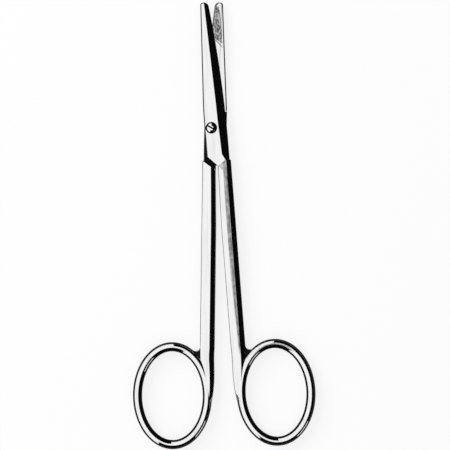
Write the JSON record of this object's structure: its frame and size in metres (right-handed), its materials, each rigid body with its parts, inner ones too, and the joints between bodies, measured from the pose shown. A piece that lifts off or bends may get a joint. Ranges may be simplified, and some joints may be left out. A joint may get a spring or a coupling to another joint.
{
  "type": "strabismus scissors",
  "caption": "Slim surgical scissors with straight blunt-tipped blades, a lap joint held by a slotted screw, straight shanks and oval finger rings.",
  "frame": {"origin": "on the joint screw's axis, in the outer face of the rear half's lap, which is the face the scissors lie on", "axes": "+X to the ring of the front half, +Y along the bisector of the two halves to the blade tips, +Z along the screw's axis out of its slotted head"},
  "size_m": [0.0469, 0.1145, 0.0039],
  "materials": {
    "polished_steel": "bright polished stainless steel, inner blade faces ground",
    "screw_steel": "turned and polished stainless steel"
  },
  "bodies": {
    "rear": {"rear_half": "polished_steel", "joint_screw": "screw_steel"},
    "front": {"front_half": "polished_steel"}
  },
  "joints": [
    {"name": "blade_hinge", "type": "hinge", "parent": "rear", "child": "front", "pos_m": [0, 0, 0.0018], "axis": [0, 0, 1], "range_deg": [-2.8, 50]}
  ]
}
